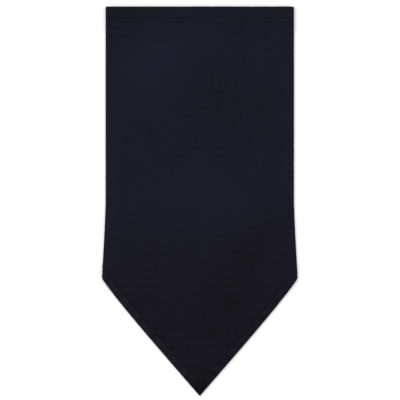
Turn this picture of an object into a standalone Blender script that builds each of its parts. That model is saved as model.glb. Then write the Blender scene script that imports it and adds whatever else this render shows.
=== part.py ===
"""A neck warmer laid flat on a table: a knitted tube with a long V point in front and turned hems.

+X runs across the tube, +Y from the point up to the top edge, and +Z up from the table.
The back panel lies on the table at z = 0 and the front panel lies on the back panel.
"down" is always the distance below the top edge, along -Y.
"""

import math
from collections import namedtuple

import bmesh
import bpy

MM = 0.001

# Flat outline
LENGTH = 486.8 * MM             # top edge to the tip of the V
SIDE = 340.2 * MM               # top edge to the corners of the V
TUBE_HALF = 117.8 * MM          # half the flat width of the tube
CORNER_HALF = 122.7 * MM        # half the width at the corners
FLARE_LENGTH = 98.0 * MM        # the sides spread over this much above the corners
FLARE_POWER = 1.3               # slow at first, faster towards the corners
TIP_HALF = 0.3 * MM             # half the blunt end of the tip
TIP_SPREAD = 0.868              # half width gained per length just above the tip
BOW_POWER = 3.5                 # the sides of the V bow out, mostly near the corners
CORNER_SOFTNESS = 1.5 * MM      # rounding of the corners

# Cloth and the layers of it
CLOTH = 1.2 * MM                # thickness of the brushed knit
LAYER_GAP = 0.4 * MM            # air between layers pressed by a hem
SEAM_GAP = 0.3 * MM             # split between two pieces at a fold
TUBE_STACK = 2 * CLOTH + 0.6 * MM
TOP_STACK = 4 * CLOTH + 3 * LAYER_GAP
BACK_HEM_STACK = 3 * CLOTH + 2 * LAYER_GAP

# Turned hems
TOP_HEM_DEPTH = 21.0 * MM
POINT_HEM_WIDTH = 11.0 * MM
BACK_HEM_DEPTH = 12.0 * MM
HEM_CLEARANCE = 1.0 * MM        # flat run past the cut edge of a hem
HEM_SLOPE = 13.0 * MM           # the front panel comes down over this length past a hem
POINT_SLOPE = 30.0 * MM         # and over this one below the back panel's lower edge
INSIDE_SLOPE = 18.0 * MM        # and over this one inside the point hems
POINT_HEM_START = 0.6 * MM      # the point hems start this far below the back panel
POINT_HEM_END = 2.0 * MM        # and end this far above the tip

# Mesh spacing
ARC_STEPS = 3                   # facets of a quarter fold
NOSE_END = 1.0 * MM             # what a rounded edge has lost of its thickness where it ends
FOLD_SHARE = 0.45               # most of a half section that a fold may take, near the tip
COLUMN_SHARE = 0.8              # most of a half section that the edge columns may take
WIDEST_FOLD = TOP_STACK / 2
EDGE_COLUMNS = (5 * MM, 13 * MM, 17 * MM, 21 * MM, 25 * MM, 31 * MM)
MIDDLE_COLUMNS = 5
EDGE_LOOK = 8.0 * MM            # the slant of the edge is read over this much up and down

# Height of the front panel's outer face over the table, at its sides and along its middle
Level = namedtuple("Level", "down sides middle")
LEVELS = (
    Level(0.0, TOP_STACK, TOP_STACK),
    Level(TOP_HEM_DEPTH + HEM_CLEARANCE, TOP_STACK, TOP_STACK),
    Level(TOP_HEM_DEPTH + HEM_CLEARANCE + HEM_SLOPE, TUBE_STACK, TUBE_STACK),
    Level(SIDE - BACK_HEM_DEPTH - HEM_CLEARANCE - HEM_SLOPE, TUBE_STACK, TUBE_STACK),
    Level(SIDE - BACK_HEM_DEPTH - HEM_CLEARANCE, BACK_HEM_STACK, BACK_HEM_STACK),
    Level(SIDE + HEM_CLEARANCE, BACK_HEM_STACK, BACK_HEM_STACK),
    Level(SIDE + HEM_CLEARANCE + POINT_SLOPE, TUBE_STACK, CLOTH),
    Level(LENGTH, TUBE_STACK, CLOTH),
)

# Soft swells where the front panel stands a little off the back one
Swell = namedtuple("Swell", "x down reach_x reach_down rise")
SWELLS = (
    Swell(-46 * MM, 104 * MM, 70 * MM, 74 * MM, 1.0 * MM),
    Swell(48 * MM, 158 * MM, 62 * MM, 92 * MM, 0.8 * MM),
    Swell(-40 * MM, 226 * MM, 66 * MM, 62 * MM, 0.7 * MM),
    Swell(34 * MM, 274 * MM, 74 * MM, 44 * MM, 0.6 * MM),
)
SWELL_FADE = 22.0 * MM          # swells die out towards the side folds over this distance

# Sections of the panels: from, to, and how many steps between
Stretch = namedtuple("Stretch", "start end steps")
TUBE_STRETCHES = (
    Stretch(4 * MM, TOP_HEM_DEPTH + HEM_CLEARANCE, 2),
    Stretch(TOP_HEM_DEPTH + HEM_CLEARANCE, LEVELS[2].down, 4),
    Stretch(LEVELS[2].down, LEVELS[3].down, 15),
    Stretch(LEVELS[3].down, LEVELS[4].down, 4),
    Stretch(LEVELS[4].down, SIDE - 3 * MM, 1),
)
POINT_STRETCHES = (
    Stretch(SIDE - 3 * MM, LEVELS[5].down, 3),
    Stretch(LEVELS[5].down, LEVELS[6].down, 6),
    Stretch(LEVELS[6].down, LENGTH - 20 * MM, 8),
    Stretch(LENGTH - 20 * MM, LENGTH - 4 * MM, 3),
    Stretch(LENGTH - 4 * MM, LENGTH - 1 * MM, 2),
)

# Finishes
PANEL_NAVY = "1C1E28"
BACK_NAVY = "1B1D26"
HEM_NAVY = "191A22"
CLOTH_ROUGHNESS = 0.92


def smooth_min(first, second, softness):
    """The smaller of two lengths, rounded off where they cross."""
    return 0.5 * (first + second - math.hypot(first - second, softness))


def soft_step(value):
    """0 to 1 with a level start and end."""
    value = min(1.0, max(0.0, value))
    return value * value * (3 - 2 * value)


def half_width(down):
    """Half the width of the outline at a distance below the top edge."""
    flare = max(0.0, down - SIDE + FLARE_LENGTH) / FLARE_LENGTH
    tube = TUBE_HALF + (CORNER_HALF - TUBE_HALF) * flare ** FLARE_POWER
    drop = LENGTH - SIDE
    rise = max(0.0, LENGTH - down)
    corner_spread = (CORNER_HALF - TIP_HALF) / drop
    spread = TIP_SPREAD + (corner_spread - TIP_SPREAD) * (rise / drop) ** BOW_POWER
    if down < SIDE - FLARE_LENGTH:
        return tube
    return max(TIP_HALF, smooth_min(tube, TIP_HALF + spread * rise, CORNER_SOFTNESS))


def edge_stretch(down):
    """How much further the edge is across the cloth than square to its own line."""
    gain = half_width(down + EDGE_LOOK) - half_width(down - EDGE_LOOK)
    return math.hypot(1.0, gain / (2 * EDGE_LOOK))


def level(down, column):
    """Read one column of LEVELS, with a soft step between its rows."""
    for above, below in zip(LEVELS, LEVELS[1:]):
        if down <= below.down:
            share = soft_step((down - above.down) / (below.down - above.down))
            start = getattr(above, column)
            return start + (getattr(below, column) - start) * share
    return getattr(LEVELS[-1], column)


def swell_height(x, down, edge_distance):
    """Rise of the front panel over its level."""
    rise = 0.0
    for swell in SWELLS:
        reach = math.hypot((x - swell.x) / swell.reach_x, (down - swell.down) / swell.reach_down)
        rise += swell.rise * math.cos(0.5 * math.pi * min(1.0, reach)) ** 2
    return rise * soft_step(edge_distance / SWELL_FADE)


def front_height(x, down):
    """Height of the front panel's outer face away from its folds."""
    edge_distance = (half_width(down) - abs(x)) / edge_stretch(down)
    sides = level(down, "sides")
    middle = level(down, "middle")
    inward = soft_step((edge_distance - POINT_HEM_WIDTH) / INSIDE_SLOPE)
    return sides + (middle - sides) * inward + swell_height(x, down, edge_distance)


def fold_arc(down, offset, side):
    """Right-hand fold of one panel, from its lip at mid height to where the panel runs flat.

    offset is measured inwards from the outer face; side is 1 for the upper panel, -1 for the lower.
    """
    half = half_width(down)
    radius = level(down, "sides") / 2
    squeeze = min(1.0, FOLD_SHARE * half / radius)
    inner = radius - offset
    lip = math.acos(SEAM_GAP / 2 / inner)
    points = []
    for step in range(ARC_STEPS + 1):
        angle = lip * (1 - step / ARC_STEPS)
        x = half - squeeze * (radius - inner * math.sin(angle))
        points.append((x, radius + side * inner * math.cos(angle)))
    return points


def columns(down):
    """Places across the front panel between its folds, closer together near the edges."""
    half = half_width(down)
    run = half - min(level(down, "sides") / 2, FOLD_SHARE * half)
    stretch = edge_stretch(down)
    reach = (EDGE_COLUMNS[-1] - WIDEST_FOLD) * stretch
    squeeze = min(1.0, COLUMN_SHARE * run / reach)
    edges = [run - squeeze * stretch * (distance - WIDEST_FOLD) for distance in EDGE_COLUMNS]
    inmost = edges[-1]
    gaps = MIDDLE_COLUMNS + 1
    middle = [inmost * (2 * step / gaps - 1) for step in range(1, gaps)]
    return [-x for x in edges] + middle + edges[::-1]


def placed(row, down):
    """Put a row of (x, z) at its place along Y."""
    return [(x, LENGTH / 2 - down, z) for x, z in row]


def front_row(down, offset):
    """One row of the upper layers, left to right, at an offset below the outer face."""
    right = fold_arc(down, offset, 1)
    left = [(-x, z) for x, z in right]
    run = [(x, front_height(x, down) - offset) for x in columns(down)]
    return placed(left + run + right[::-1], down)


def back_row(down, offset):
    """One row of the lower layers, left to right, at an offset above the outer face."""
    right = fold_arc(down, offset, -1)
    left = [(-x, z) for x, z in right]
    return placed(left + right[::-1], down)


def nose():
    """Rounding of a turned edge: (distance from the edge, thickness lost), from the edge inwards."""
    radius = CLOTH + LAYER_GAP / 2
    end = math.acos(1 - NOSE_END / radius)
    steps = []
    for step in range(ARC_STEPS + 1):
        angle = end * (1 - step / ARC_STEPS)
        steps.append((radius * (math.sin(end) - math.sin(angle)), radius * (1 - math.cos(angle))))
    return steps


def stations(stretches):
    """Distances below the top edge for every section of some stretches."""
    downs = []
    for stretch in stretches:
        for step in range(stretch.steps):
            downs.append(stretch.start + (stretch.end - stretch.start) * step / stretch.steps)
    downs.append(stretches[-1].end)
    return downs


def wall(outer_rows, inner_rows):
    """Closed solid between two equal grids of points."""
    mesh = bmesh.new()
    outer = [[mesh.verts.new(point) for point in row] for row in outer_rows]
    inner = [[mesh.verts.new(point) for point in row] for row in inner_rows]
    for grid in (outer, inner):
        for upper, lower in zip(grid, grid[1:]):
            for place in range(len(upper) - 1):
                mesh.faces.new((upper[place], upper[place + 1], lower[place + 1], lower[place]))
    for place in (0, -1):
        for line in range(len(outer) - 1):
            mesh.faces.new((outer[line][place], outer[line + 1][place],
                            inner[line + 1][place], inner[line][place]))
    for line in (0, -1):
        upper, lower = outer[line], inner[line]
        for place in range(len(upper) - 1):
            mesh.faces.new((upper[place], upper[place + 1], lower[place + 1], lower[place]))
    bmesh.ops.recalc_face_normals(mesh, faces=mesh.faces)
    return mesh


def fabric(name, colour):
    """Matt brushed knit in one colour."""
    material = bpy.data.materials.new(name + "_knit")
    material.use_nodes = True
    shader = material.node_tree.nodes["Principled BSDF"]
    channels = [int(colour[start:start + 2], 16) / 255 for start in (0, 2, 4)]
    linear = [((channel + 0.055) / 1.055) ** 2.4 for channel in channels]
    shader.inputs["Base Color"].default_value = (*linear, 1.0)
    shader.inputs["Roughness"].default_value = CLOTH_ROUGHNESS
    shader.inputs["Metallic"].default_value = 0.0
    return material


def piece(name, solid, colour, parent):
    """Make one named object from a finished mesh."""
    mesh = bpy.data.meshes.new(name)
    solid.to_mesh(mesh)
    solid.free()
    mesh.shade_smooth()
    mesh.set_sharp_from_angle(angle=math.radians(50))
    item = bpy.data.objects.new(name, mesh)
    item.data.materials.append(fabric(name, colour))
    item.parent = parent
    bpy.context.scene.collection.objects.link(item)
    return item


def front_panel():
    """Front of the tube with the V point; its sides roll over to meet the back panel."""
    outer = []
    inner = []
    for down, lost in nose():
        outer.append(front_row(down, lost))
        inner.append(front_row(down, CLOTH))
    for down in stations(TUBE_STRETCHES)[:-1] + stations(POINT_STRETCHES) + [LENGTH]:
        outer.append(front_row(down, 0.0))
        inner.append(front_row(down, CLOTH))
    return wall(outer, inner)


def back_panel():
    """Back of the tube, flat on the table, with a straight lower edge at the corners."""
    outer = []
    inner = []
    for down, lost in nose():
        outer.append(back_row(down, lost))
        inner.append(back_row(down, CLOTH))
    for down in stations(TUBE_STRETCHES):
        outer.append(back_row(down, 0.0))
        inner.append(back_row(down, CLOTH))
    for distance, lost in reversed(nose()):
        outer.append(back_row(SIDE - distance, lost))
        inner.append(back_row(SIDE - distance, CLOTH))
    return wall(outer, inner)


def top_hem(row):
    """Allowance of the top hem, turned in behind a panel whose rows are given by row()."""
    near = CLOTH + LAYER_GAP
    far = near + CLOTH
    outer = []
    inner = []
    for down, lost in nose():
        outer.append(row(down, near))
        inner.append(row(down, far - lost))
    for down in (TOP_HEM_DEPTH / 2, TOP_HEM_DEPTH):
        outer.append(row(down, near))
        inner.append(row(down, far))
    return wall(outer, inner)


def back_bottom_hem():
    """Allowance turned in along the back panel's lower edge."""
    low = CLOTH + LAYER_GAP
    high = low + CLOTH
    upper = []
    lower = []
    for distance, lost in nose() + [(BACK_HEM_DEPTH / 2, 0.0), (BACK_HEM_DEPTH, 0.0)]:
        down = SIDE - distance
        end = half_width(down) - BACK_HEM_STACK / 2
        upper.append(placed([(-end, high - lost), (end, high - lost)], down))
        lower.append(placed([(-end, low), (end, low)], down))
    return wall(upper, lower)


def point_hem(mirror):
    """Allowance turned under along one side of the V; mirror is 1 for +X and -1 for -X."""
    outer = []
    inner = []
    first = SIDE + POINT_HEM_START
    last = LENGTH - POINT_HEM_END
    slanted = [down for down in stations(POINT_STRETCHES) if first < down < last]
    for down in [first] + slanted + [last]:
        cut_edge = half_width(down) - POINT_HEM_WIDTH * edge_stretch(down)
        cut_edge = max(cut_edge, SEAM_GAP / 2)
        under = fold_arc(down, 0.0, -1) + [(cut_edge, 0.0)]
        over = fold_arc(down, CLOTH, -1) + [(cut_edge, CLOTH)]
        outer.append(placed([(mirror * x, z) for x, z in under], down))
        inner.append(placed([(mirror * x, z) for x, z in over], down))
    return wall(outer, inner)


def clear_scene():
    """Start from an empty scene."""
    for item in list(bpy.data.objects):
        bpy.data.objects.remove(item, do_unlink=True)


def main():
    clear_scene()
    root = bpy.data.objects.new("neck_warmer", None)
    bpy.context.scene.collection.objects.link(root)
    piece("front_panel", front_panel(), PANEL_NAVY, root)
    piece("back_panel", back_panel(), BACK_NAVY, root)
    piece("front_top_hem", top_hem(front_row), HEM_NAVY, root)
    piece("back_top_hem", top_hem(back_row), HEM_NAVY, root)
    piece("back_bottom_hem", back_bottom_hem(), HEM_NAVY, root)
    piece("point_hem_left", point_hem(-1), HEM_NAVY, root)
    piece("point_hem_right", point_hem(1), HEM_NAVY, root)


main()
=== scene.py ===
"""The looks of a knitted neck warmer laid flat: one tube of cloth with a V point, its hems and its stitching.

"down" is the distance below the top edge, along -Y, in metres. "across" is the distance from the centre line
along the cloth: over the front, round the side fold and on to the back. "offset" is how far a face lies
inside the outer face of the flattened tube. The cloth's right side and wrong side are grids of such points.
"""

import math

import bpy
import numpy as np
from bpy.props import FloatProperty, FloatVectorProperty, IntProperty, PointerProperty
from bpy.types import Operator, Panel, PropertyGroup
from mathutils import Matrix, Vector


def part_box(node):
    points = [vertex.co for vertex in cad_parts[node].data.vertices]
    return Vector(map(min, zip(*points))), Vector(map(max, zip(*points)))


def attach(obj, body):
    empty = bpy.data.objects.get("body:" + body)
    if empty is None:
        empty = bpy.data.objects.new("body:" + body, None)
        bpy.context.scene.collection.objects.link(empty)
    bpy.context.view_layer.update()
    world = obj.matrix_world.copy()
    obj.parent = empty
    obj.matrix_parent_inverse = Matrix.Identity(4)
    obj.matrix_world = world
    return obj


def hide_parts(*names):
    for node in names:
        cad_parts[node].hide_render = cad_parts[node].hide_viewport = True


bl_info = {
    "name": "Flat Neck Warmer",
    "version": (1, 0, 0),
    "blender": (4, 5, 0),
    "location": "View3D > Sidebar > Neck Warmer",
    "description": "Builds a knitted neck warmer laid flat, with a V point and stitched hems",
    "category": "Object",
}

MM = 0.001

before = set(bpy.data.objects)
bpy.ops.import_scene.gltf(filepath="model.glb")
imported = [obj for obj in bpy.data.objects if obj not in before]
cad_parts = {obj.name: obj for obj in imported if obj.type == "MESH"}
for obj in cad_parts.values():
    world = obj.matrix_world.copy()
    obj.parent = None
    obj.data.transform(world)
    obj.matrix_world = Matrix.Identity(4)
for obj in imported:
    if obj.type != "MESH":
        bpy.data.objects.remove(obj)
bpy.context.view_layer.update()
FRONT_LOW, FRONT_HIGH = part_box("front_panel")
BACK_LOW, BACK_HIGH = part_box("back_panel")
TOP_HEM_LOW, TOP_HEM_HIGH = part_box("front_top_hem")
BACK_HEM_LOW, BACK_HEM_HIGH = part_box("back_bottom_hem")


def linear(hex_colour):
    """sRGB hex to linear red, green and blue."""
    channels = [int(hex_colour[start:start + 2], 16) / 255 for start in (0, 2, 4)]
    return tuple(c / 12.92 if c <= 0.04045 else ((c + 0.055) / 1.055) ** 2.4 for c in channels)


def length_prop(name, description, default):
    """A length in metres that the sidebar shows."""
    return FloatProperty(name=name, description=description, default=default, unit="LENGTH", precision=5)


def colour_prop(name, description, hex_colour):
    """A colour that the sidebar shows."""
    return FloatVectorProperty(name=name, description=description, default=linear(hex_colour),
                               subtype="COLOR", min=0.0, max=1.0)


class CutSizes(PropertyGroup):
    """The outline of the flat neck warmer."""

    length: length_prop("Length", "Top edge to the tip", FRONT_HIGH.y - FRONT_LOW.y)
    side: length_prop("Side", "Top edge to the corners of the V", BACK_HIGH.y - BACK_LOW.y)
    tube_half: length_prop("Tube half width", "Half the flat width of the tube", 117.8 * MM)
    corner_half: length_prop("Corner half width", "Half the width at the corners", 122.7 * MM)
    flare_length: length_prop("Flare length", "The sides spread over this much above the corners", 98.0 * MM)
    flare_power: FloatProperty(name="Flare power", description="How late the sides spread", default=1.3)
    tip_half: length_prop("Tip half width", "Half the blunt end of the tip", 0.3 * MM)
    tip_spread: FloatProperty(name="Tip spread", description="Half width gained per length at the tip",
                              default=0.868)
    bow_power: FloatProperty(name="Bow power", description="How near the corners the V bows out", default=3.5)
    corner_softness: length_prop("Corner softness", "Rounding of the corners", 1.5 * MM)


class ClothSizes(PropertyGroup):
    """The cloth, its hems and how its layers lie."""

    thickness: length_prop("Thickness", "Thickness of the knit", 1.2 * MM)
    layer_gap: length_prop("Layer gap", "Air between layers pressed by a hem", 0.4 * MM)
    tube_stack: length_prop("Tube height", "Height of the flattened tube", 3.0 * MM)
    top_stack: length_prop("Top hem height", "Height over the layers of the top hem", FRONT_HIGH.z)
    back_hem_stack: length_prop("Back hem height", "Height over the layers of the back hem", 4.4 * MM)
    top_hem: length_prop("Top hem depth", "Depth of the top allowance", TOP_HEM_HIGH.y - TOP_HEM_LOW.y)
    back_hem: length_prop("Back hem depth", "Depth of the back allowance", BACK_HEM_HIGH.y - BACK_HEM_LOW.y)
    point_hem: length_prop("Point hem width", "Width of the allowance under the V", 11.0 * MM)
    hem_slope: length_prop("Hem slope", "The front comes down over this length past a hem", 13.0 * MM)
    point_slope: length_prop("Point slope", "And over this one below the back's edge", 30.0 * MM)
    inside_slope: length_prop("Inside slope", "And over this one inside the hems of the V", 18.0 * MM)
    cell: length_prop("Mesh spacing", "Distance between rows of points", 2.35 * MM)
    fine_cell: length_prop("Fine spacing", "The same where stitching pulls the cloth", 0.6 * MM)
    grid_across: length_prop("Grid across", "Width of one pillow of the thermal grid", 9.6 * MM)
    grid_down: length_prop("Grid down", "Height of one pillow of the thermal grid", 10.1 * MM)
    grid_relief: length_prop("Grid relief", "Height of the pillows", 0.07 * MM)
    wale: length_prop("Wale", "Width of one column of knit stitches", 0.96 * MM)
    course: length_prop("Course", "Height of one row of knit stitches", 0.72 * MM)


class StitchSizes(PropertyGroup):
    """Twin-needle stitching of the hems."""

    pitch: length_prop("Pitch", "From one stitch to the next", 2.9 * MM)
    shown: length_prop("Stitch length", "What shows of one stitch", 2.6 * MM)
    thread: length_prop("Thread", "Thread diameter", 0.42 * MM)
    top_row: length_prop("Top row", "Upper row, from the top edge", 14.3 * MM)
    gauge: length_prop("Gauge", "Between the two needles", 6.0 * MM)
    edge_row: length_prop("Edge row", "Outer row along the lower edge, from that edge", 4.4 * MM)
    groove: length_prop("Groove", "How deep a row pulls the cloth down", 0.3 * MM)
    groove_half: length_prop("Groove half width", "Half width of that groove", 0.8 * MM)
    pucker: length_prop("Pucker", "Height of the puckers beside the rows", 0.16 * MM)
    seed: IntProperty(name="Seed", description="Unevenness of the stitches", default=7)


class Finish(PropertyGroup):
    """Colours of the cloth, the thread and the floor."""

    upper: colour_prop("Upper navy", "Cloth at the top edge", "161822")
    lower: colour_prop("Lower navy", "Cloth at the tip", "15131A")
    # Hue of the painted sheen: lighter painted patches take it on, darker ones lose it
    raised: colour_prop("Raised nap", "Hue of the light that nap standing up gives back", "A4B8D8")
    fuzz: colour_prop("Fuzz", "Sheen of the brushed face", "8C93A8")
    thread: colour_prop("Thread", "Polyester thread", "08080C")
    floor: colour_prop("Floor", "Studio floor", "FBFBFB")


class StageSizes(PropertyGroup):
    """Camera, floor and lights."""

    view_width: length_prop("View width", "What the picture spans", 500.0 * MM)
    view_right: length_prop("View right", "Middle of the picture across", 0.25 * MM)
    view_up: length_prop("View up", "Middle of the picture along the tube", 1.6 * MM)
    lens: FloatProperty(name="Lens", description="Focal length", default=200.0, unit="CAMERA")
    sensor: FloatProperty(name="Sensor", description="Width of the sensor", default=36.0, unit="CAMERA")
    floor_size: length_prop("Floor size", "Side of the floor", 12.0)
    key_power: FloatProperty(name="Key power", description="Left softbox", default=52.0, unit="POWER")
    fill_power: FloatProperty(name="Fill power", description="Right softbox", default=24.0, unit="POWER")
    world_level: FloatProperty(name="World level", description="Strength of the white surround", default=0.74)


GROUPS = {"neck_cut": CutSizes, "neck_cloth": ClothSizes, "neck_stitch": StitchSizes,
          "neck_finish": Finish, "neck_stage": StageSizes}

# Soft swells of the front: x and down of the centre, reach across and down, and rise, all in mm
SWELLS = (
    (-46, 104, 70, 74, 1.0),
    (48, 158, 62, 92, 0.8),
    (-40, 226, 66, 62, 0.7),
    (34, 274, 74, 44, 0.6),
)
SWELL_FADE = 22 * MM           # they die out towards the edges over this much

# Lighter and darker ovals on the brushed face. They are partly the pile standing up (lighter) and lying down
# (darker), and partly painted highlights and painted shade for the softboxes' sheen and fall-off, with
# painted sheen along both side folds. Columns: x and down of the centre, half of the long and of the short
# axis (mm), how far the long one rises to the right (degrees), share of the colour
PAINTED_LIGHT_PATCHES = (
    (-56, 70, 58, 32, 42, 0.25),
    (-122, 2, 62, 36, 10, -0.15),
    (40, 118, 52, 38, -30, -0.11),
    (-8, 246, 112, 50, 4, 0.11),
    (80, 288, 44, 22, 48, -0.13),
    (44, 338, 52, 30, 60, -0.13),
    (26, 402, 56, 30, 75, -0.07),
    (-121, 226, 120, 14, 90, 0.19),
    (121, 160, 84, 13, 90, 0.14),
    (-1, 480, 15, 15, 0, -0.26),
    (0, 9, 320, 5, 0, -0.07),
    (196, 96, 60, 24, 70, 0.10),
    (-186, 150, 66, 26, 110, -0.08),
    (-194, 262, 48, 24, 80, 0.08),
)
# Painted light on the hems along the V, where their raised rolls catch the key light, more on the left than
# on the right, as shares of the colour: side (-1 left, 1 right), how much lighter, how uneven
HEM_PAINTED_LIGHT = ((-1, 0.42, 0.20), (1, 0.15, 0.12))
HEM_GRAIN = 2.8                # share of the colour by which their pulled stitches and fibres stand out
BAND_END = 12 * MM             # they look so from this far above the corner to this far from the tip,
BAND_FADE = 14 * MM            # fading at both ends over this much,
BAND_INSIDE = 1.5 * MM         # and from the edge to this far from the cut edge of the allowance,
BAND_EDGE = 3 * MM             # fading there over this much
ROW_PAINTED_SHADE = -0.20                # painted shade in a groove of the top stitching, with its pressed pile, as a share of the colour,
ROW_SHADE_VARIES = 0.25          # which this share of it varies along the row
ROW_SHADE_WAVES = (11 * MM, 4.3 * MM)            # in waves of these lengths per radian
LOWER_ROW_PAINTED_SHADE = -0.16          # painted shade in a groove of the lower stitching, with its pressed pile, as a share of the colour

# Uneven little waves that the stitching pulls into the cloth: length (mm), share, phase
PUCKER_WAVES = ((23.0, 0.9, 0.4), (13.1, 0.7, 2.1), (8.3, 0.4, 4.4))
PUCKER_REACH = 6.5 * MM        # they reach this far to both sides of the middle between two rows,
LOOSE_SIDE = 3 * MM            # and die out towards a side fold over this much,
LOOSE_TOP = 4 * MM             # and towards the top edge over this much
TOP_PUCKER = 0.6               # share of their height that they have beside the top rows
EDGE_RISE = 0.75               # by the V they run with down less this share of across,
EDGE_TURN = 0.8                # of which this share is length along the edge
GRID_TOP = 6 * MM              # the pillows of the grid die out towards the top edge over this much
# Slow waves that keep the flat cloth from being dead flat: length across and down (mm), height (mm), phase
EASE_WAVES = ((96, 61, 0.08, 0.3), (-57, 88, 0.06, 1.9), (143, -120, 0.09, 3.4))

# How the top rows stray: a wave of this height and length per radian,
ROW_STRAY = 0.16 * MM
ROW_STRAY_TURN = 19 * MM
LEFT_RISE = 0.5 * MM           # higher on the left by this much,
LEFT_START = 22 * MM           # from here to the left,
LEFT_FADE = 14 * MM            # coming on over this much,
STRAY_END = 138 * MM           # and all of it dying out before here on the back,
STRAY_FADE = 20 * MM           # over this much

# How the knit's rows lie: they rise to the right by this much per length,
KNIT_RISE = 0.006
KNIT_RISE_END = 0.12           # as far as this from the middle, in metres
POINT_SAG = 1.0                # sag in the V, by this times the square of across in metres,
POINT_SAG_FADE = 90 * MM       # coming on over this much below the corners,
POINT_STRETCH = 0.08           # where they also lie further apart by this share

SIDES = 1                      # columns of the levels
MIDDLE = 2
FOLD_STEPS = 12                # facets of a side fold
ROLL_STEPS = 8                 # facets of a rolled edge
FOLD_SHARE = 0.45              # most of a half section that a fold may take, near the tip
RUN_SHARE = 0.8                # most of the flat front's half that the edge places may take
# How far in from a side fold the points beside it lie, square to the edge (mm)
EDGE_PLACES = (0.9, 1.8, 2.3, 2.8, 3.3, 3.8, 4.8, 6.2, 7.4, 7.9, 8.4, 8.9, 9.4, 10.4, 12.5, 15.0)
MIDDLE_PLACES = 82             # points between those of both sides
FINE_MARGIN = 1.8 * MM         # rows of points are close together to this far from the stitching,
FINE_TIP = 42 * MM             # and closer than elsewhere this near the tip
BACK_STEPS = 14                # steps from a side fold to the middle of the back
HEM_STEPS = 6                  # steps across an allowance of the V
EDGE_LOOK = 8 * MM             # the slant of an edge is read over this much up and down
MIDDLE_SOFTNESS = 8 * MM       # the slopes from both sides meet softly over this much
HEM_CLEARANCE = 1.0 * MM       # flat run past the cut edge of a hem
POINT_HEM_START = 0.6 * MM     # the hems of the V start this far below the back's edge
POINT_HEM_END = 2.0 * MM       # and end this far above the tip
POINT_HEM_PART = 0.15 * MM     # and stay this far from the centre line
BACK_PILLOWS = 24.5            # pillows from the middle of the front to the middle of the back
SAME_PLACE = 0.0001 * MM       # points closer than this are one,
CELL_SHIFT = 0.37              # told by cells of that size, whose borders this share of one keeps off points
HAIR = 1e-9                    # allowance for rounding where the cloth turns, in metres
ROW_START = -29.8 * MM         # across, where the top rows start
ROW_END = -19.8 * MM           # and where they end, over their own start
OVERLAP_SLIP = 0.8 * MM        # the start lies this much lower than the end,
SLIP_FADE = 12 * MM            # dying out over this much
# Pairs of threads that cross from row to row at the overlap: mm across
BAR_PLACES = (-28.9, -28.3, -26.6, -26.0, -24.4, -23.8, -22.0, -21.4)
BAR_LEAN = 1.4 * MM            # how far they lean across
BAR_OVER = 0.5 * MM            # and how far they reach past the rows
BAR_POINTS = 5                 # points along one
ROW_STOP = 1.2 * MM            # the rows of the V stop this far from its other edge
LINE_STEP = 1.0 * MM           # between the points of a line of stitching
CORNER_STEPS = 9               # points of a row round a corner of the lower edge
FLOOR_HEIGHT = -0.2 * MM       # of the floor, just below the cloth


def soft_step(value):
    """0 to 1 with a level start and end."""
    value = np.clip(value, 0.0, 1.0)
    return value * value * (3 - 2 * value)


def bell(value):
    """1 in the middle, dying out past a distance of 1."""
    return np.exp(-value * value)


def spaced(start, end, spacing):
    """Even places from start up to but not including end."""
    count = math.ceil(round(abs(end - start) / spacing, 6))
    return np.linspace(start, end, count, endpoint=False)


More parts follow.
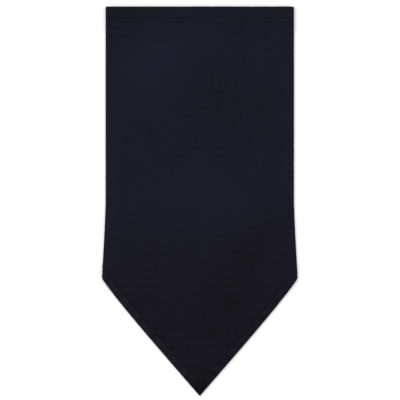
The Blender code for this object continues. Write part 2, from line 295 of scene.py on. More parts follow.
class Shape:
    """The flattened tube, worked out from the sizes in the sidebar."""

    def __init__(self, scene):
        self.cut = cut = scene.neck_cut
        self.cloth = cloth = scene.neck_cloth
        self.stitch = scene.neck_stitch
        hem = cloth.top_hem + HEM_CLEARANCE
        back = cut.side - cloth.back_hem - HEM_CLEARANCE
        end = cut.side + HEM_CLEARANCE
        self.roll = cloth.thickness + cloth.layer_gap / 2
        self.corner_slope = self.point_slope(cut.side)
        # Height of the front's outer face: down, along its sides, along its middle
        self.levels = (
            (0.0, cloth.top_stack, cloth.top_stack),
            (hem, cloth.top_stack, cloth.top_stack),
            (hem + cloth.hem_slope, cloth.tube_stack, cloth.tube_stack),
            (back - cloth.hem_slope, cloth.tube_stack, cloth.tube_stack),
            (back, cloth.back_hem_stack, cloth.back_hem_stack),
            (end, cloth.back_hem_stack, cloth.back_hem_stack),
            (end + cloth.point_slope, cloth.tube_stack, cloth.thickness),
            (cut.length, cloth.tube_stack, cloth.thickness),
        )

    # Outline

    def tube_half(self, down):
        """Half width of the tube, flare included, as if there were no V."""
        cut = self.cut
        flare = np.clip((down - cut.side + cut.flare_length) / cut.flare_length, 0, None)
        return cut.tube_half + (cut.corner_half - cut.tube_half) * flare ** cut.flare_power

    def point_half(self, down):
        """Half width of the V, as if its sides went on past the corners and the tip."""
        cut = self.cut
        drop = cut.length - cut.side
        rise = cut.length - down
        corner_spread = (cut.corner_half - cut.tip_half) / drop
        bow = np.clip(rise / drop, 0, None) ** cut.bow_power
        return cut.tip_half + (cut.tip_spread + (corner_spread - cut.tip_spread) * bow) * rise

    def point_slope(self, down):
        """Half width that the V gains per length upwards."""
        return (self.point_half(down - EDGE_LOOK) - self.point_half(down + EDGE_LOOK)) / (2 * EDGE_LOOK)

    def half(self, down):
        """Half width of the outline."""
        cut = self.cut
        tube = self.tube_half(down)
        point = self.point_half(np.minimum(down, cut.length))
        rounded = 0.5 * (tube + point - np.hypot(tube - point, cut.corner_softness))
        return np.where(down < cut.side - cut.flare_length, tube, np.maximum(cut.tip_half, rounded))

    def stretch(self, down):
        """How much further the edge is across the cloth than square to its own line."""
        gain = self.half(down + EDGE_LOOK) - self.half(down - EDGE_LOOK)
        return np.hypot(1.0, gain / (2 * EDGE_LOOK))

    # Side folds

    def level(self, down, column):
        """Read one column of the levels, with a soft step between rows."""
        height = self.levels[0][column]
        for above, below in zip(self.levels, self.levels[1:]):
            share = soft_step((down - above[0]) / (below[0] - above[0]))
            height += (below[column] - above[column]) * share
        return height

    def radius(self, down):
        """Radius of the side fold."""
        return self.level(down, SIDES) / 2

    def squeeze(self, down):
        """Share of its width that the fold keeps, near the tip."""
        return np.minimum(1.0, FOLD_SHARE * self.half(down) / self.radius(down))

    def run(self, down):
        """Where the front ends and its fold begins."""
        return self.half(down) - self.squeeze(down) * self.radius(down)

    def fold_end(self, down):
        """Distance across the cloth to where the fold meets the back."""
        return self.run(down) + math.pi * self.radius(down)

    # Relief

    def hem_distance(self, across, down, side):
        """Distance from the lower cut line on one side: the edge of the V, and its corner above that."""
        outward = np.minimum(side * across - self.cut.corner_half, 0)
        up = self.cut.side - down
        slanted = (self.point_half(down) - side * across) / np.hypot(1.0, self.point_slope(down))
        beyond = outward * self.corner_slope + up > 0
        return np.where(beyond, np.hypot(outward, up), slanted)

    def top_row_wander(self, across):
        """How far down the top rows stray: they lie a little high on the left, and were guided by eye."""
        high = LEFT_RISE * soft_step((-across - LEFT_START) / LEFT_FADE)
        on_front = soft_step((STRAY_END - np.abs(across)) / STRAY_FADE)
        return on_front * (ROW_STRAY * np.sin(across / ROW_STRAY_TURN + 1.0) - high)

    def rows(self, first):
        """Where both needles of the twin sew."""
        return first, first + self.stitch.gauge

    def grooves(self, across, down):
        """How far the stitch rows pull the cloth in."""
        stitch = self.stitch
        away = [down - row - self.top_row_wander(across) for row in self.rows(stitch.top_row)]
        for side in (1, -1):
            distance = self.hem_distance(across, down, side)
            away += [distance - row for row in self.rows(stitch.edge_row)]
        depth = 0.0
        for distance in away:
            depth = np.maximum(depth, bell(distance / stitch.groove_half))
        return stitch.groove * depth

    def hem_waves(self, across, down, side):
        """Uneven waves that run along one side's lower edge."""
        along = down - EDGE_RISE * side * across
        height = 0.0
        for length, share, phase in PUCKER_WAVES:
            turn = EDGE_TURN * 2 * math.pi / (length * MM)
            height += share * np.sin(turn * along + phase + side)
        return height

    def puckers(self, across, down):
        """Small uneven waves beside the stitch rows."""
        stitch = self.stitch
        middle = stitch.gauge / 2
        near_top = bell((down - stitch.top_row - middle) / PUCKER_REACH)
        height = 0.0
        for length, share, phase in PUCKER_WAVES:
            turn = 2 * math.pi / (length * MM)
            height += TOP_PUCKER * near_top * share * np.sin(turn * across + phase)
        for side in (1, -1):
            near = bell((self.hem_distance(across, down, side) - stitch.edge_row - middle) / PUCKER_REACH)
            height += near * self.hem_waves(across, down, side)
        return stitch.pucker * height

    def swell(self, across, down, edge):
        """Slow rises of the front, and the ease of cloth that lies loose."""
        rise = 0.0
        for x, centre, reach_x, reach_down, height in SWELLS:
            reach = np.hypot((across / MM - x) / reach_x, (down / MM - centre) / reach_down)
            rise += height * MM * np.cos(0.5 * math.pi * np.minimum(1.0, reach)) ** 2
        for length_across, length_down, height, phase in EASE_WAVES:
            turn = 2 * math.pi * (across / (length_across * MM) + down / (length_down * MM))
            rise += height * MM * (1 + np.sin(turn + phase))
        return rise * soft_step(edge / SWELL_FADE)

    def front_height(self, across, down, relief):
        """Height of the front's outer face between its folds."""
        edge = (self.half(down) - np.hypot(across, MIDDLE_SOFTNESS)) / self.stretch(down)
        sides = self.level(down, SIDES)
        middle = self.level(down, MIDDLE)
        inward = soft_step((edge - self.cloth.point_hem) / self.cloth.inside_slope)
        height = sides + (middle - sides) * inward + self.swell(across, down, edge)
        loose = soft_step((self.run(down) - np.abs(across)) / LOOSE_SIDE) * soft_step(down / LOOSE_TOP)
        return height + relief * (loose * self.puckers(across, down) - self.grooves(across, down))

    def hem_band(self, across, down, side):
        """1 on the hem of one side's lower edge, and 0 inside it."""
        distance = self.hem_distance(across, down, side)
        below = soft_step((down - self.cut.side + BAND_END) / BAND_FADE)
        above_tip = soft_step((self.cut.length - BAND_END - down) / BAND_FADE)
        return below * above_tip * soft_step((self.cloth.point_hem - BAND_INSIDE - distance) / BAND_EDGE)

    def nap_and_painted_light(self, across, down):
        """How much lighter the brushed face is, and how much its fibres show, as shares of its colour. The
        lightness is painted light and shade: painted highlights and painted sheen, and painted shade in the
        stitch grooves and where the light falls off, together with the pile's own standing and lying.
        """
        slow, fast = ROW_SHADE_WAVES
        varied = 1 - ROW_SHADE_VARIES + ROW_SHADE_VARIES * np.sin(across / slow + 0.8) * np.sin(across / fast)
        # Painted shade in the grooves of the stitching, with their pressed pile
        row_shade = np.where(down < 2 * self.cloth.top_hem, ROW_PAINTED_SHADE * varied, LOWER_ROW_PAINTED_SHADE)
        tone = row_shade * self.grooves(across, down) / self.stitch.groove
        # Ovals of painted highlight and painted shade, with the pile's own standing and lying
        for x, centre, half_long, half_wide, slant, share in PAINTED_LIGHT_PATCHES:
            turn = math.radians(slant)
            right = across / MM - x
            up = centre - down / MM
            along = (right * math.cos(turn) + up * math.sin(turn)) / half_long
            beside = (up * math.cos(turn) - right * math.sin(turn)) / half_wide
            tone += share * bell(np.hypot(along, beside))
        # Painted light on the rolled hems of the V, uneven with their puckers
        for side, lighter, uneven in HEM_PAINTED_LIGHT:
            band = lighter + uneven * self.hem_waves(across, down, side)
            tone += band * self.hem_band(across, down, side)
        grain = HEM_GRAIN * (self.hem_band(across, down, 1) + self.hem_band(across, down, -1))
        return tone, np.minimum(grain, HEM_GRAIN)

    # Cloth

    def on_cloth(self, across, down, offset, relief):
        """Points of a face of the cloth: over the front, round the folds and on to the back."""
        reach = np.abs(across)
        run = self.run(down)
        radius = self.radius(down)
        angle = np.clip((reach - run) / radius, 0, math.pi)
        inner = radius - offset - relief * self.grooves(across, down)
        fold_x = self.half(down) - self.squeeze(down) * (radius - inner * np.sin(angle))
        fold_z = radius + inner * np.cos(angle)
        back_x = run - np.maximum(0, reach - self.fold_end(down))
        front = reach <= run + HAIR
        back = reach >= self.fold_end(down) - HAIR
        x = np.where(front, reach, np.where(back, back_x, fold_x)) * np.sign(across)
        z = np.where(front, self.front_height(across, down, relief) - offset, fold_z)
        return x, self.cut.length / 2 - down + np.zeros_like(x), z

    def uncut(self, across, down, along):
        """Where a point lies on the knitted cloth before it was cut, in metres."""
        cut = self.cut
        ease = cut.tube_half / self.tube_half(np.minimum(down, cut.side))
        reach = np.abs(across)
        fold_end = self.fold_end(down)
        back_share = (BACK_PILLOWS * self.cloth.grid_across - fold_end * ease) / self.run(down)
        in_point = soft_step((down - cut.side) / POINT_SAG_FADE)
        back_share = np.where(down > cut.side, ease, back_share)
        place = np.minimum(reach, fold_end) * ease + np.maximum(0, reach - fold_end) * back_share
        sag = POINT_SAG * in_point * np.minimum(reach, self.half(down)) ** 2
        drop = -POINT_STRETCH * np.maximum(0, down - cut.side)
        rise = KNIT_RISE * np.clip(across, -KNIT_RISE_END, KNIT_RISE_END)
        return place * np.sign(across), along + sag + drop + rise

    def front_places(self, down):
        """Places across the cloth from the end of the left fold to the end of the right one."""
        run = self.run(down)
        stretch = self.stretch(down)
        places = np.array(EDGE_PLACES)[None, :] * MM
        squeeze = np.minimum(1.0, RUN_SHARE * run / (places.max() * stretch))
        edges = run - squeeze * stretch * places
        middle = edges[:, -1:] * np.linspace(-1, 1, MIDDLE_PLACES + 2)[None, 1:-1]
        turn = np.linspace(0, math.pi, FOLD_STEPS + 1)[None, :]
        fold = run + self.radius(down) * turn
        return np.hstack([-fold[:, ::-1], -edges, middle, edges[:, ::-1], fold])

    def rolled_rows(self, hem, start, turn):
        """Rows from a cut edge along its allowance and over the roll to the outer face.

        turn is 1 where the tube lies below start, and -1 where it lies above.
        """
        cloth = self.cloth
        inside = spaced(hem, self.roll, cloth.cell)
        angle = np.linspace(math.pi, 0, ROLL_STEPS + 1)
        along = np.concatenate([self.roll * (2 - math.pi) - inside, self.roll * (1 - angle)])
        faces = []
        for radius in (self.roll, self.roll - cloth.thickness):
            down = np.concatenate([inside, self.roll - radius * np.sin(angle)])
            offset = np.concatenate([0 * inside + self.roll + radius, self.roll - radius * np.cos(angle)])
            faces += [start + turn * down[:, None], offset[:, None]]
        along = start + turn * along[:, None]
        return Rows(*faces, along, 0 * along)

    def front_rows(self):
        """Distances down for the outer face, finer where stitching pulls the cloth."""
        cut = self.cut
        cloth = self.cloth
        stitch = self.stitch
        # Where each stretch starts, and the spacing in it
        stretches = (
            (self.roll, cloth.cell),
            (stitch.top_row - FINE_MARGIN, cloth.fine_cell),
            (stitch.top_row + stitch.gauge + FINE_MARGIN, cloth.cell),
            (cut.side - (stitch.edge_row + stitch.gauge + FINE_MARGIN), cloth.fine_cell),
            (cut.side - self.roll, cloth.fine_cell),
            (cut.side + POINT_HEM_START, cloth.cell),
            (cut.length - FINE_TIP, cloth.cell / 2),
            (cut.length - POINT_HEM_END, cloth.fine_cell),
        )
        ends = [start for start, spacing in stretches[1:]] + [cut.length]
        downs = [spaced(start, end, spacing) for (start, spacing), end in zip(stretches, ends)]
        return np.concatenate([*downs, [cut.length]])[:, None]


class Rows:
    """Rows of points down the cloth: where its right side and its wrong side lie."""

    def __init__(self, down, offset, wrong_down, wrong_offset, along, relief):
        self.columns = (down, offset, wrong_down, wrong_offset, along, relief)
        self.down = down

    def then(self, others):
        """These rows and the others after them, without the row that they share."""
        pairs = zip(self.columns, others.columns)
        return Rows(*[np.concatenate([first, second[1:]]) for first, second in pairs])

    def reversed(self):
        """These rows from last to first."""
        return Rows(*[column[::-1] for column in self.columns])

    def between(self, start, end):
        """The rows from one distance down to another."""
        kept = (self.down[:, 0] > start - SAME_PLACE) & (self.down[:, 0] < end + SAME_PLACE)
        return Rows(*[column[kept] for column in self.columns])


class Sheet:
    """Collects grids of points, then joins them into one sheet of cloth with a thickness."""

    def __init__(self, shape):
        self.shape = shape
        self.grids = []
        self.count = 0

    def add_grid(self, across, rows):
        """Add a grid whose rows run from left to right across the cloth, and its quads."""
        shape = self.shape
        down, offset, wrong_down, wrong_offset, along, relief = rows.columns
        raised = relief * (np.abs(across) < shape.run(down)) * soft_step(down / GRID_TOP)
        index = self.count + np.arange(across.size).reshape(across.shape)
        self.grids.append((
            stacked(*shape.on_cloth(across, down, offset, relief)),
            stacked(*shape.on_cloth(across, wrong_down, wrong_offset, 0 * relief)),
            stacked(*shape.uncut(across, down, along)),
            stacked(raised),
            stacked(*shape.nap_and_painted_light(across, down), 0 * across),
            stacked(index[:-1, :-1], index[1:, :-1], index[1:, 1:], index[:-1, 1:]),
        ))
        self.count += across.size

    def add_both_sides(self, reach, rows):
        """Add a grid on the right and its mirror on the left, from a distance across outwards."""
        self.add_grid(reach, rows)
        self.add_grid(-reach[:, ::-1], rows)

    def to_mesh(self, name):
        """Weld the grids, close both faces along their free edges and make the mesh."""
        right, wrong, place, relief, nap_and_painted_light, faces = [np.concatenate(part) for part in zip(*self.grids)]
        cell = np.round(right / SAME_PLACE + CELL_SHIFT).astype(np.int64)
        chosen, welded = np.unique(cell, axis=0, return_index=True, return_inverse=True)[1:]
        quads = welded.reshape(-1)[faces]
        count = len(chosen)

        edges = np.concatenate([quads[:, [side, (side + 1) % 4]] for side in range(4)])
        corners = np.concatenate([faces[:, [side, (side + 1) % 4]] for side in range(4)])
        first, uses = np.unique(np.sort(edges, axis=1), axis=0, return_index=True, return_counts=True)[1:]
        free = first[uses == 1]
        start, end = edges[free].T
        rims = np.stack([end, start, start + count, end + count], axis=1)

        mesh = bpy.data.meshes.new(name)
        points = np.concatenate([right[chosen], wrong[chosen]])
        mesh.from_pydata(points.tolist(), [], np.concatenate([quads, quads[:, ::-1] + count, rims]).tolist())
        layer = mesh.uv_layers.new(name="cloth")
        rim_corners = corners[free][:, [1, 0, 0, 1]]
        spots = place[np.concatenate([faces, faces[:, ::-1], rim_corners])]
        layer.data.foreach_set("uv", spots.astype(np.float32).ravel())
        relief = np.concatenate([relief[chosen], np.zeros((count, 1))])
        write_vectors(mesh, "grid_place", np.hstack([np.tile(place[chosen], (2, 1)), relief]))
        write_vectors(mesh, "nap_and_painted_light", np.tile(nap_and_painted_light[chosen], (2, 1)))
        return mesh


def stacked(*grids):
    """Grids of single numbers as one list of points."""
    shape = np.broadcast(*grids).shape
    return np.stack([np.broadcast_to(grid, shape).ravel() for grid in grids], axis=1)


def write_vectors(mesh, name, values):
    """Store a vector on each point of a mesh."""
    attribute = mesh.attributes.new(name, "FLOAT_VECTOR", "POINT")
    attribute.data.foreach_set("vector", values.astype(np.float32).ravel())


def set_inputs(tree, node, inputs):
    """Set or link inputs of a node. A node given as a value stands for its first output."""
    for name, value in inputs.items():
        if isinstance(value, bpy.types.Node):
            value = value.outputs[0]
        if isinstance(value, bpy.types.NodeSocket):
            tree.links.new(value, node.inputs[name])
        else:
            node.inputs[name].default_value = value


def add_node(tree, kind, inputs=None, **settings):
    """Add a node with its settings, and set or link its inputs."""
    node = tree.nodes.new(kind)
    for name, value in settings.items():
        setattr(node, name, value)
    set_inputs(tree, node, inputs or {})
    return node


def new_tree(name, inputs):
    """A Geometry Nodes tree with named inputs, each as (name, socket type)."""
    tree = bpy.data.node_groups.new(name, "GeometryNodeTree")
    tree.interface.new_socket("Geometry", in_out="OUTPUT", socket_type="NodeSocketGeometry")
    for label, kind in [("Geometry", "Geometry")] + inputs:
        tree.interface.new_socket(label, in_out="INPUT", socket_type="NodeSocket" + kind)
    return tree, tree.nodes.new("NodeGroupInput").outputs


def run_tree(item, tree, values):
    """Put a tree on an object with its input values, and keep what it gives as a plain mesh."""
    modifier = item.modifiers.new(tree.name, "NODES")
    modifier.node_group = tree
    for socket in tree.interface.items_tree:
        if socket.in_out == "INPUT" and socket.name in values:
            modifier[socket.identifier] = values[socket.name]
    graph = bpy.context.evaluated_depsgraph_get()
    made = bpy.data.meshes.new_from_object(item.evaluated_get(graph), preserve_all_data_layers=True,
                                           depsgraph=graph)
    item.modifiers.clear()
    drafts = item.data
    item.data = made
    bpy.data.meshes.remove(drafts)
    made.name = item.name


def new_object(name, data):
    """Link a mesh, a light or a camera to the scene as an object."""
    item = bpy.data.objects.new(name, data)
    bpy.context.scene.collection.objects.link(item)
    return item


def new_material(name):
    """An empty material with its tree, a Principled shader and an output."""
    material = bpy.data.materials.new(name)
    material.use_nodes = True
    tree = material.node_tree
    tree.nodes.clear()
    shader = add_node(tree, "ShaderNodeBsdfPrincipled")
    add_node(tree, "ShaderNodeOutputMaterial", {"Surface": shader})
    return material, tree, shader


def brushed_thermal_knit(scene):
    """Polyester thermal jersey, dyed navy, brushed to a matt face with a faint grid showing through."""
    cloth = scene.neck_cloth
    finish = scene.neck_finish
    material, tree, shader = new_material("brushed_thermal_knit")
    place = add_node(tree, "ShaderNodeUVMap", uv_map="cloth")
    point = add_node(tree, "ShaderNodeTexCoord").outputs["Object"]
    nap_and_painted_light = add_node(tree, "ShaderNodeAttribute", attribute_name="nap_and_painted_light").outputs["Vector"]
    nap_and_painted_light = add_node(tree, "ShaderNodeSeparateXYZ", {0: nap_and_painted_light}).outputs
    axes = add_node(tree, "ShaderNodeSeparateXYZ", {0: place}).outputs

    # Pillows of the grid: a wave repeats after 2 pi / 20 of its own units
    pillows = []
    for axis, size in (("Y", cloth.grid_down), ("X", cloth.grid_across)):
        wave = add_node(tree, "ShaderNodeTexWave",
                        {"Vector": place, "Scale": math.pi / 10 / size, "Distortion": 1.3, "Detail": 2.0,
                         "Detail Scale": 0.6, "Phase Offset": math.pi},
                        wave_type="BANDS", bands_direction=axis, wave_profile="SIN")
        pillows.append(wave.outputs["Fac"])
    rows, columns = pillows

    # Knit stitches: each course is a row of shallow Vs, one to a wale
    half_wale = add_node(tree, "ShaderNodeMath", {0: axes["X"], 1: cloth.wale / 2}, operation="PINGPONG")
    lifted = add_node(tree, "ShaderNodeMath", {0: half_wale, 1: 1.1, 2: axes["Y"]}, operation="MULTIPLY_ADD")
    turns = add_node(tree, "ShaderNodeMath", {0: lifted, 1: 2 * math.pi / cloth.course}, operation="MULTIPLY")
    loops = add_node(tree, "ShaderNodeMath", {0: turns}, operation="SINE")

    # Size of the spots (mm), detail and roughness of each noise
    spots = []
    for size, detail, roughness in (
            (1.1, 3.0, 0.65),      # brushed fibres
            (4.5, 2.0, 0.6),       # tufts that they form
            (1.5, 1.0, 0.6),       # stitches pulled out of line by the hems, as fine as the picture can show
            (34, 2.0, 0.5),        # mottle of a nap that was handled
            (17, 1.0, 0.5)):       # where the nap covers the rows of pillows
        spots.append(add_node(tree, "ShaderNodeTexNoise", {"Vector": point, "Scale": 1 / (size * MM),
                                                           "Detail": detail, "Roughness": roughness}))
    fibres, tufts, grain, mottle, covered = spots

    # The knit was stretched most towards the tip, where its rows show more; the colour also runs from the
    # upper navy to the darker, less blue lower one towards the tip
    fall = add_node(tree, "ShaderNodeMapRange",
                    {"Value": axes["Y"], "From Min": 110 * MM, "From Max": 510 * MM},
                    interpolation_type="SMOOTHSTEP")
    stretched = add_node(tree, "ShaderNodeMath", {0: fall, 1: 0.07, 2: 0.085}, operation="MULTIPLY_ADD")
    worn = add_node(tree, "ShaderNodeMapRange",
                    {"Value": covered, "From Min": 0.32, "From Max": 0.56, "To Min": 0.45, "To Max": 1.15},
                    interpolation_type="SMOOTHSTEP")
    row_share = add_node(tree, "ShaderNodeMath", {0: stretched, 1: worn}, operation="MULTIPLY")

    # Tone: the painted light and shade stored on the mesh, with the pile's own, plus a share of each pattern
    # about its middle
    tone = nap_and_painted_light["X"]
    for pattern, middle, share in (
            (rows, 0.5, row_share), (columns, 0.5, 0.05), (loops, 0.0, 0.05), (fibres, 0.5, 0.9),
            (tufts, 0.5, 0.5), (mottle, 0.5, 0.18), (grain, 0.5, nap_and_painted_light["Y"])):
        centred = add_node(tree, "ShaderNodeMath", {0: pattern, 1: middle}, operation="SUBTRACT")
        tone = add_node(tree, "ShaderNodeMath", {0: centred, 1: share, 2: tone}, operation="MULTIPLY_ADD")

    navy_gradient = add_node(tree, "ShaderNodeMix", {0: fall, 6: (*finish.upper, 1.0), 7: (*finish.lower, 1.0)},
                   data_type="RGBA").outputs[2]
    # The tone scales the colour by the raised hue: a painted bluish sheen where it is lighter
    middle = sum(finish.raised) / 3
    painted_sheen_hue = tuple(channel / middle for channel in finish.raised)
    share = add_node(tree, "ShaderNodeVectorMath", {0: painted_sheen_hue, "Scale": tone}, operation="SCALE")
    toned = add_node(tree, "ShaderNodeVectorMath", {0: share, 1: navy_gradient, 2: navy_gradient}, operation="MULTIPLY_ADD")

    # Height in shares of 0.3 mm: the stitches, softened by fibres that lie over them
    knit = add_node(tree, "ShaderNodeMath", {0: loops, 1: 0.12, 2: 0.5}, operation="MULTIPLY_ADD")
    haired = add_node(tree, "ShaderNodeMath", {0: fibres, 1: 0.9, 2: knit}, operation="MULTIPLY_ADD")
    bump = add_node(tree, "ShaderNodeBump", {"Strength": 0.7, "Distance": 0.3 * MM, "Height": haired})

    set_inputs(tree, shader, {
        "Base Color": toned, "Normal": bump, "Roughness": 0.95, "Specular IOR Level": 0.03,
        "Sheen Weight": 0.22, "Sheen Roughness": 0.36, "Sheen Tint": (*finish.fuzz, 1.0),
    })
    return material


def varied_colour(tree, colour, spots, least, spread):
    """A colour that a noise varies from its least share upwards, and the noise."""
    point = add_node(tree, "ShaderNodeTexCoord").outputs["Object"]
    noise = add_node(tree, "ShaderNodeTexNoise", {"Vector": point, **spots})
    tone = add_node(tree, "ShaderNodeMath", {0: noise, 1: spread, 2: least}, operation="MULTIPLY_ADD")
    return add_node(tree, "ShaderNodeVectorMath", {0: tuple(colour), "Scale": tone}, operation="SCALE"), noise


def spun_polyester_thread(scene):
    """Spun polyester sewing thread, dyed to the cloth: hairy plies that shine hardly at all."""
    thread = scene.neck_stitch.thread
    material, tree, shader = new_material("spun_polyester_thread")
    spots = {"Scale": 3 / thread, "Detail": 2.0}
    toned, fibres = varied_colour(tree, scene.neck_finish.thread, spots, 0.7, 0.6)
    bump = add_node(tree, "ShaderNodeBump", {"Strength": 0.5, "Distance": thread / 6, "Height": fibres})
    set_inputs(tree, shader, {"Base Color": toned, "Normal": bump, "Roughness": 0.62,
                              "Specular IOR Level": 0.05})
    return material


def painted_studio_floor(scene):
    """Studio floor painted pale and matt, with hardly a trace of unevenness."""
    material, tree, shader = new_material("painted_studio_floor")
    toned = varied_colour(tree, scene.neck_finish.floor, {"Scale": 1.5, "Detail": 1.0}, 0.995, 0.01)[0]
    set_inputs(tree, shader, {"Base Color": toned, "Roughness": 0.9, "Specular IOR Level": 0.1})
    return material


def tube_mesh(scene):
    """The whole cloth: front with both folds, back, and the allowances of all hems."""
    shape = Shape(scene)
    cut = scene.neck_cut
    cloth = scene.neck_cloth
    face = shape.front_rows()
    outer = Rows(face, 0 * face, face, 0 * face + cloth.thickness, face, 1 + 0 * face)
    top = shape.rolled_rows(cloth.top_hem, 0.0, 1)
    sheet = Sheet(shape)

    whole = top.then(outer)
    sheet.add_grid(shape.front_places(whole.down), whole)

    back = top.then(outer.between(0, cut.side - shape.roll))
    back = back.then(shape.rolled_rows(cloth.back_hem, cut.side, -1).reversed())
    reach = shape.fold_end(back.down) + shape.run(back.down) * np.linspace(0, 1, BACK_STEPS + 1)
    sheet.add_both_sides(reach, back)

    under = outer.between(cut.side + POINT_HEM_START, cut.length - POINT_HEM_END)
    width = cloth.point_hem * shape.stretch(under.down)
    cut_edge = np.maximum(shape.half(under.down) - width, POINT_HEM_PART)
    turned = shape.run(under.down) - cut_edge
    reach = shape.fold_end(under.down) + turned * np.linspace(0, 1, HEM_STEPS + 1)
    sheet.add_both_sides(reach, under)
    return sheet.to_mesh("tube_cloth")


def end_tree(tree, geometry, material):
    """End a tree: make its instances real, set the material and put the result out."""
    real = add_node(tree, "GeometryNodeRealizeInstances", {"Geometry": geometry})
    finished = add_node(tree, "GeometryNodeSetMaterial", {"Geometry": real, "Material": material})
    add_node(tree, "NodeGroupOutput", {"Geometry": finished})
    return tree


def thermal_grid_tree():
    """Raise the pillows of the thermal grid along the cloth's own directions."""
    tree, given = new_tree("thermal_grid", [("Grid Across", "Float"), ("Grid Down", "Float"),
                                            ("Relief", "Float"), ("Cloth", "Material")])
    place = add_node(tree, "GeometryNodeInputNamedAttribute", {"Name": "grid_place"},
                     data_type="FLOAT_VECTOR")
    axes = add_node(tree, "ShaderNodeSeparateXYZ", {0: place}).outputs
    waves = []
    for axis, size in (("X", "Grid Across"), ("Y", "Grid Down")):
        pillows = add_node(tree, "ShaderNodeMath", {0: axes[axis], 1: given[size]}, operation="DIVIDE")
        turns = add_node(tree, "ShaderNodeMath", {0: pillows, 1: 2 * math.pi}, operation="MULTIPLY")
        waves.append(add_node(tree, "ShaderNodeMath", {0: turns}, operation="COSINE"))
    height = add_node(tree, "ShaderNodeMath", {0: waves[0], 1: 0.4, 2: waves[1]}, operation="MULTIPLY_ADD")
    for factor in (axes["Z"], given["Relief"], -0.5):
        height = add_node(tree, "ShaderNodeMath", {0: height, 1: factor}, operation="MULTIPLY")
    normal = add_node(tree, "GeometryNodeInputNormal")
    offset = add_node(tree, "ShaderNodeVectorMath", {0: normal, "Scale": height}, operation="SCALE")
    raised = add_node(tree, "GeometryNodeSetPosition", {"Geometry": given["Geometry"], "Offset": offset})
    return end_tree(tree, raised, given["Cloth"])


def stitch_row_tree():
    """Lay one arched stitch after another along each line, standing on the cloth."""
    tree, given = new_tree("stitch_rows", [("Pitch", "Float"), ("Length", "Float"), ("Thread", "Float"),
                                           ("Seed", "Int"), ("Yarn", "Material")])
    lines = add_node(tree, "GeometryNodeMeshToCurve", {"Mesh": given["Geometry"]})
    points = add_node(tree, "GeometryNodeResampleCurve", {"Curve": lines, "Length": given["Pitch"]},
                      mode="LENGTH")

    # A stitch's ends are sunk into the cloth, and its middle is drawn up
    sizes = []
    for size, share in (("Length", -0.5), ("Length", 0.5),
                        ("Thread", -0.8), ("Thread", 1.1), ("Thread", 0.5)):
        sizes.append(add_node(tree, "ShaderNodeMath", {0: given[size], 1: share}, operation="MULTIPLY"))
    start, end, sunk, crown, radius = sizes
    bend = {"Resolution": 7}
    for name, along, height in (("Start", start, sunk), ("Middle", 0.0, crown), ("End", end, sunk)):
        bend[name] = add_node(tree, "ShaderNodeCombineXYZ", {"X": along, "Z": height})
    arch = add_node(tree, "GeometryNodeCurveQuadraticBezier", bend)
    round_thread = add_node(tree, "GeometryNodeCurvePrimitiveCircle", {"Resolution": 6, "Radius": radius},
                            mode="RADIUS")
    stitch = add_node(tree, "GeometryNodeCurveToMesh",
                      {"Curve": arch, "Profile Curve": round_thread, "Fill Caps": True})
    smooth = add_node(tree, "GeometryNodeSetShadeSmooth", {"Geometry": stitch})

    lift = add_node(tree, "GeometryNodeInputNamedAttribute", {"Name": "lift"}, data_type="FLOAT_VECTOR")
    tangent = add_node(tree, "GeometryNodeInputTangent")
    laid = add_node(tree, "FunctionNodeAxesToRotation", {"Primary Axis": lift, "Secondary Axis": tangent},
                    primary_axis="Z", secondary_axis="X")
    # Each stitch lies a little askew (radians) and has a size of its own
    slant = add_node(tree, "FunctionNodeRandomValue",
                     {0: (0.0, -0.06, -0.09), 1: (0.0, 0.06, 0.09), "Seed": given["Seed"]},
                     data_type="FLOAT_VECTOR")
    turned = add_node(tree, "FunctionNodeEulerToRotation", {"Euler": slant})
    rotation = add_node(tree, "FunctionNodeRotateRotation", {"Rotation": laid, "Rotate By": turned},
                        rotation_space="LOCAL")
    later_seed = add_node(tree, "ShaderNodeMath", {0: given["Seed"], 1: 1.0}, operation="ADD")
    scale = add_node(tree, "FunctionNodeRandomValue",
                     {0: (0.9, 0.9, 0.85), 1: (1.06, 1.1, 1.15), "Seed": later_seed},
                     data_type="FLOAT_VECTOR")
    placed = add_node(tree, "GeometryNodeInstanceOnPoints",
                      {"Points": points, "Instance": smooth, "Rotation": rotation, "Scale": scale})
    return end_tree(tree, placed, given["Yarn"])


def top_row_line(shape, row):
    """One row round the top hem as (across, down), with its ends overlapping on the front."""
    half_round = float(shape.fold_end(np.array(row)) + shape.run(np.array(row)))
    there = spaced(ROW_START, half_round, LINE_STEP)
    back = spaced(-half_round, ROW_END, LINE_STEP)
    across = np.concatenate([there, back])
    slip = np.concatenate([OVERLAP_SLIP * (1 - soft_step((there - ROW_START) / SLIP_FADE)), 0 * back])
    return across, row + shape.top_row_wander(across) + slip


def overlap_bars(shape):
    """Short leaning lines of thread, each as (across, down), where the top rows end over their own start."""
    stitch = shape.stitch
    share = np.linspace(0, 1, BAR_POINTS)
    down = stitch.top_row - BAR_OVER + (stitch.gauge + 2 * BAR_OVER) * share
    return [(middle * MM + BAR_LEAN * (0.5 - share), down) for middle in BAR_PLACES]


def lower_row_line(shape, distance):
    """One row along the lower edge as (across, down): the V, both corners and the back."""
    cut = shape.cut
    down = spaced(cut.length, cut.side - 2 * distance, LINE_STEP)
    across = shape.point_half(down) - distance * np.hypot(1.0, shape.point_slope(down))
    below_corner = (across - cut.corner_half) * shape.corner_slope + cut.side - down <= 0
    inside = across > -(shape.half(down) - ROW_STOP)
    across = across[below_corner & inside]
    down = down[below_corner & inside]
    turn = np.linspace(math.pi - math.atan(shape.corner_slope), math.pi / 2, CORNER_STEPS)
    round_across = cut.corner_half + distance * np.cos(turn)
    round_down = cut.side - distance * np.sin(turn)
    level = np.array(cut.side - distance)
    half_round = float(shape.fold_end(level) + shape.run(level))
    back = spaced(cut.corner_half, half_round, LINE_STEP)[1:]
    across = np.concatenate([across, round_across, back])
    down = np.concatenate([down, round_down, level + 0 * back])
    return np.concatenate([across, -across[::-1]]), np.concatenate([down, down[::-1]])


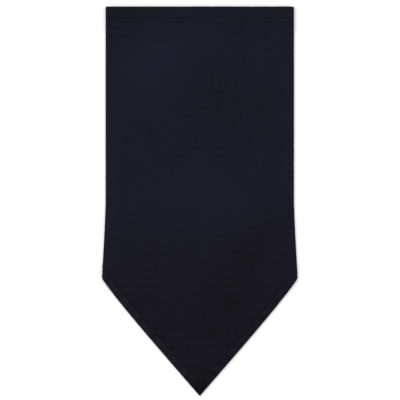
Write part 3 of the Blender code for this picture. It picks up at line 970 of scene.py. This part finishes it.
def row_mesh(shape, name, lines):
    """Lines of stitching as a mesh of edges, with the direction that each point stands up in."""
    points = []
    lifts = []
    edges = []
    for across, down in lines:
        x, y, z = shape.on_cloth(across, down, 0.0, 1)
        angle = np.clip((np.abs(across) - shape.run(down)) / shape.radius(down), 0, math.pi)
        lifts.append(np.column_stack([np.sign(across) * np.sin(angle), 0 * angle, np.cos(angle)]))
        first = sum(len(line) for line in points)
        edges += [(first + step, first + step + 1) for step in range(len(across) - 1)]
        points.append(np.column_stack([x, y, z]))
    mesh = bpy.data.meshes.new(name)
    mesh.from_pydata(np.concatenate(points).tolist(), edges, [])
    write_vectors(mesh, "lift", np.concatenate(lifts))
    return mesh


def sew(scene, name, shape, lines):
    """Make one hem's rows of stitches as a piece that rides on the cloth."""
    stitch = shape.stitch
    item = new_object(name, row_mesh(shape, name, lines))
    run_tree(item, stitch_row_tree(), {
        "Pitch": stitch.pitch, "Length": stitch.shown, "Thread": stitch.thread, "Seed": stitch.seed,
        "Yarn": spun_polyester_thread(scene),
    })
    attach(item, "root")


class NECK_OT_tube_cloth(Operator):
    """One sheet of brushed knit: the tube, its V point and its turned-in allowances"""

    bl_idname = "neck.tube_cloth"
    bl_label = "Tube Cloth"

    def execute(self, context):
        scene = context.scene
        cloth = scene.neck_cloth
        item = new_object("tube_cloth", tube_mesh(scene))
        run_tree(item, thermal_grid_tree(), {
            "Grid Across": cloth.grid_across, "Grid Down": cloth.grid_down, "Relief": cloth.grid_relief,
            "Cloth": brushed_thermal_knit(scene),
        })
        item.data.shade_smooth()
        item.data.set_sharp_from_angle(angle=math.radians(50))
        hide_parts("front_panel", "back_panel", "front_top_hem", "back_top_hem",
                    "back_bottom_hem", "point_hem_left", "point_hem_right")
        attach(item, "root")
        return {"FINISHED"}


class NECK_OT_top_stitching(Operator):
    """Two rows of twin-needle stitching round the top hem"""

    bl_idname = "neck.top_stitching"
    bl_label = "Top Hem Stitching"

    def execute(self, context):
        shape = Shape(context.scene)
        rows = [top_row_line(shape, row) for row in shape.rows(shape.stitch.top_row)]
        sew(context.scene, "top_hem_stitching", shape, rows + overlap_bars(shape))
        return {"FINISHED"}


class NECK_OT_lower_stitching(Operator):
    """Two rows of twin-needle stitching along the V and the back's lower edge"""

    bl_idname = "neck.lower_stitching"
    bl_label = "Lower Hem Stitching"

    def execute(self, context):
        shape = Shape(context.scene)
        rows = [lower_row_line(shape, row) for row in shape.rows(shape.stitch.edge_row)]
        sew(context.scene, "lower_hem_stitching", shape, rows)
        return {"FINISHED"}


class NECK_OT_stage(Operator):
    """Pale floor, two softboxes, a white surround and a camera straight above"""

    bl_idname = "neck.stage"
    bl_label = "Stage"

    def execute(self, context):
        scene = context.scene
        stage = scene.neck_stage
        half = stage.floor_size / 2
        mesh = bpy.data.meshes.new("studio_floor")
        corners = [(-half, -half), (half, -half), (half, half), (-half, half)]
        mesh.from_pydata([(x, y, FLOOR_HEIGHT) for x, y in corners], [], [(0, 1, 2, 3)])
        mesh.materials.append(painted_studio_floor(scene))
        new_object("studio_floor", mesh)

        # Square softboxes that look at the middle: name, watts, side and place in metres
        for name, power, size, place in (
                ("key_softbox", stage.key_power, 2.4, (-1.9, 1.3, 2.3)),
                ("fill_softbox", stage.fill_power, 2.0, (2.1, -0.6, 1.9))):
            light = bpy.data.lights.new(name, "AREA")
            light.energy = power
            light.size = size
            lamp = new_object(name, light)
            lamp.location = place
            lamp.rotation_euler = (-lamp.location).to_track_quat("-Z", "Y").to_euler()

        world = bpy.data.worlds.new("white_surround")
        world.use_nodes = True
        surround = world.node_tree.nodes["Background"]
        surround.inputs["Color"].default_value = (1.0, 1.0, 1.0, 1.0)
        surround.inputs["Strength"].default_value = stage.world_level
        scene.world = world

        lens = bpy.data.cameras.new("overhead_camera")
        lens.lens = stage.lens
        lens.sensor_width = stage.sensor
        scene.camera = new_object("overhead_camera", lens)
        height = scene.neck_cloth.tube_stack + stage.view_width * stage.lens / stage.sensor
        scene.camera.location = (stage.view_right, stage.view_up, height)
        scene.view_settings.view_transform = "Standard"
        return {"FINISHED"}


class NECK_PT_sidebar(Panel):
    """Lists the neck warmer's pieces and sizes"""

    bl_idname = "NECK_PT_sidebar"
    bl_label = "Neck Warmer"
    bl_space_type = "VIEW_3D"
    bl_region_type = "UI"
    bl_category = "Neck Warmer"

    def draw(self, context):
        for operator in OPERATORS:
            self.layout.operator(operator.bl_idname)
        for group in GROUPS:
            settings = getattr(context.scene, group)
            box = self.layout.box()
            box.label(text=type(settings).__doc__)
            for name in settings.__annotations__:
                box.prop(settings, name)


OPERATORS = (NECK_OT_tube_cloth, NECK_OT_top_stitching, NECK_OT_lower_stitching, NECK_OT_stage)


def register():
    for kind in (*GROUPS.values(), *OPERATORS, NECK_PT_sidebar):
        bpy.utils.register_class(kind)
    for name, group in GROUPS.items():
        setattr(bpy.types.Scene, name, PointerProperty(type=group))


def unregister():
    for name in GROUPS:
        delattr(bpy.types.Scene, name)
    for kind in (NECK_PT_sidebar, *reversed(OPERATORS), *reversed(GROUPS.values())):
        bpy.utils.unregister_class(kind)


def main():
    register()
    bpy.ops.neck.tube_cloth()
    bpy.ops.neck.top_stitching()
    bpy.ops.neck.lower_stitching()
    bpy.ops.neck.stage()


if __name__ == "__main__":
    main()
